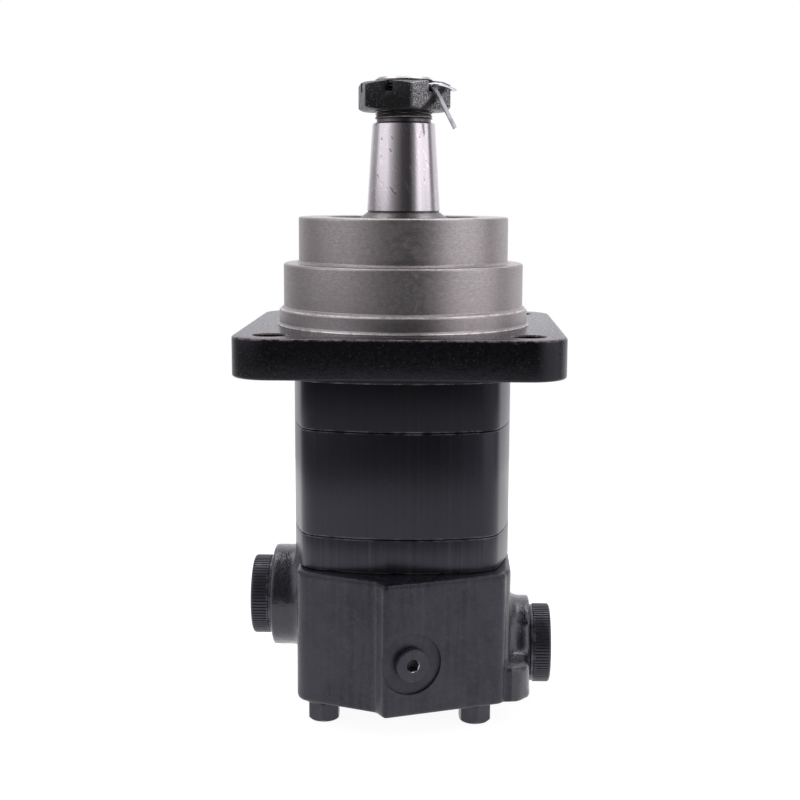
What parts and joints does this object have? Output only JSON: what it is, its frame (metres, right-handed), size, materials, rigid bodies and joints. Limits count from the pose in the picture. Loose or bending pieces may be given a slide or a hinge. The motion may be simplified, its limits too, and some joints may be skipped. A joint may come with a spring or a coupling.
{
  "type": "hydraulic motor",
  "caption": "Low-speed orbital hydraulic motor: square pilot flange, tapered keyed shaft with slotted nut, roller gear set, disc valve, side ports with plastic plugs and a front drain plug.",
  "frame": {"origin": "on the shaft's axis, at the plane of the tie-bolt heads, which is the underside of the motor standing shaft up", "axes": "+Z along the shaft towards its threaded end, +X towards the lower port, -Y towards the drain plug"},
  "size_m": [0.1352, 0.1352, 0.274],
  "materials": {
    "black_paint": "satin black enamel",
    "cast_paint": "semi-gloss black enamel over a cast surface",
    "ground_steel": "ground and oiled",
    "hard_steel": "hardened and ground",
    "black_oxide": "black oxide",
    "bright_zinc": "bright zinc plate",
    "black_rubber": "matte",
    "plug_plastic": "moulded, ribbed"
  },
  "bodies": {
    "housing": {"bearing_housing": "black_paint", "wear_plate": "hard_steel", "geroler_ring": "black_paint", "valve_plate": "black_paint", "valve_housing": "cast_paint", "housing_face_seal": "black_rubber", "ring_face_seal": "black_rubber", "valve_face_seal": "black_rubber", "tie_bolt_1": "black_paint", "tie_bolt_2": "black_paint", "tie_bolt_3": "black_paint", "tie_bolt_4": "black_paint", "right_port_plug": "plug_plastic", "left_port_plug": "plug_plastic", "drain_plug": "black_oxide", "drain_plug_seal": "black_rubber", "front_bearing_cup": "hard_steel", "rear_bearing_cup": "hard_steel", "shaft_seal": "black_rubber", "seal_retaining_ring": "black_oxide", "dust_wiper": "black_rubber", "balance_ring": "hard_steel", "balance_ring_outer_seal": "black_rubber", "balance_ring_inner_seal": "black_rubber", "balance_spring_1": "bright_zinc", "balance_spring_2": "bright_zinc"},
    "shaft": {"output_shaft": "ground_steel", "shaft_key": "hard_steel", "shaft_nut": "black_oxide", "cotter_pin": "bright_zinc", "front_bearing_cone": "hard_steel", "rear_bearing_cone": "hard_steel", "shaft_lock_ring": "black_oxide"},
    "front_rollers": {"front_bearing_rollers": "hard_steel"},
    "rear_rollers": {"rear_bearing_rollers": "hard_steel"},
    "spacer": {"drive_spacer": "hard_steel"},
    "star": {"geroler_star": "hard_steel"},
    "main_link": {"main_drive_link": "hard_steel"},
    "valve_link": {"valve_drive_link": "hard_steel"},
    "valve": {"rotary_valve": "hard_steel"},
    "roller_1": {"geroler_roller_1": "hard_steel"},
    "roller_2": {"geroler_roller_2": "hard_steel"},
    "roller_3": {"geroler_roller_3": "hard_steel"},
    "roller_4": {"geroler_roller_4": "hard_steel"},
    "roller_5": {"geroler_roller_5": "hard_steel"},
    "roller_6": {"geroler_roller_6": "hard_steel"},
    "roller_7": {"geroler_roller_7": "hard_steel"}
  },
  "joints": [
    {"name": "shaft_spin", "type": "hinge", "parent": "housing", "child": "shaft", "pos_m": [0, 0, 0.2], "axis": [0, 0, 1], "continuous": true},
    {"name": "front_rollers_orbit", "type": "hinge", "parent": "housing", "child": "front_rollers", "pos_m": [0, 0, 0.19335], "axis": [0, 0, 1], "continuous": true},
    {"name": "rear_rollers_orbit", "type": "hinge", "parent": "housing", "child": "rear_rollers", "pos_m": [0, 0, 0.1571], "axis": [0, 0, 1], "continuous": true},
    {"name": "star_orbit", "type": "hinge", "parent": "housing", "child": "spacer", "pos_m": [0, 0, 0.1624], "axis": [0, 0, 1], "continuous": true},
    {"name": "star_spin", "type": "hinge", "parent": "spacer", "child": "star", "pos_m": [0.0026, 0, 0.1052], "axis": [0, 0, 1], "continuous": true},
    {"name": "main_link_spin", "type": "hinge", "parent": "spacer", "child": "main_link", "pos_m": [0.0026, 0, 0.106], "axis": [-0.0604, 0, 0.9982], "continuous": true},
    {"name": "valve_link_spin", "type": "hinge", "parent": "spacer", "child": "valve_link", "pos_m": [0, 0, 0.058], "axis": [0.0847, 0, 0.9964], "continuous": true},
    {"name": "valve_spin", "type": "hinge", "parent": "housing", "child": "valve", "pos_m": [0, 0, 0.059], "axis": [0, 0, 1], "continuous": true},
    {"name": "roller_1_spin", "type": "hinge", "parent": "housing", "child": "roller_1", "pos_m": [0.0295, 0, 0.1052], "axis": [0, 0, 1], "continuous": true},
    {"name": "roller_2_spin", "type": "hinge", "parent": "housing", "child": "roller_2", "pos_m": [0.01839, 0.02306, 0.1052], "axis": [0, 0, 1], "continuous": true},
    {"name": "roller_3_spin", "type": "hinge", "parent": "housing", "child": "roller_3", "pos_m": [-0.00656, 0.02876, 0.1052], "axis": [0, 0, 1], "continuous": true},
    {"name": "roller_4_spin", "type": "hinge", "parent": "housing", "child": "roller_4", "pos_m": [-0.02658, 0.0128, 0.1052], "axis": [0, 0, 1], "continuous": true},
    {"name": "roller_5_spin", "type": "hinge", "parent": "housing", "child": "roller_5", "pos_m": [-0.02658, -0.0128, 0.1052], "axis": [0, 0, 1], "continuous": true},
    {"name": "roller_6_spin", "type": "hinge", "parent": "housing", "child": "roller_6", "pos_m": [-0.00656, -0.02876, 0.1052], "axis": [0, 0, 1], "continuous": true},
    {"name": "roller_7_spin", "type": "hinge", "parent": "housing", "child": "roller_7", "pos_m": [0.01839, -0.02306, 0.1052], "axis": [0, 0, 1], "continuous": true}
  ],
  "couplings": [
    {"joint": "front_rollers_orbit", "follows": "shaft_spin", "ratio": 0.44},
    {"joint": "rear_rollers_orbit", "follows": "shaft_spin", "ratio": 0.45},
    {"joint": "star_orbit", "follows": "shaft_spin", "ratio": -6},
    {"joint": "star_spin", "follows": "shaft_spin", "ratio": 7},
    {"joint": "main_link_spin", "follows": "shaft_spin", "ratio": 7},
    {"joint": "valve_link_spin", "follows": "shaft_spin", "ratio": 7},
    {"joint": "valve_spin", "follows": "shaft_spin", "ratio": 1},
    {"joint": "roller_1_spin", "follows": "shaft_spin", "ratio": -4.3},
    {"joint": "roller_2_spin", "follows": "shaft_spin", "ratio": -4.3},
    {"joint": "roller_3_spin", "follows": "shaft_spin", "ratio": -4.3},
    {"joint": "roller_4_spin", "follows": "shaft_spin", "ratio": -4.3},
    {"joint": "roller_5_spin", "follows": "shaft_spin", "ratio": -4.3},
    {"joint": "roller_6_spin", "follows": "shaft_spin", "ratio": -4.3},
    {"joint": "roller_7_spin", "follows": "shaft_spin", "ratio": -4.3}
  ]
}
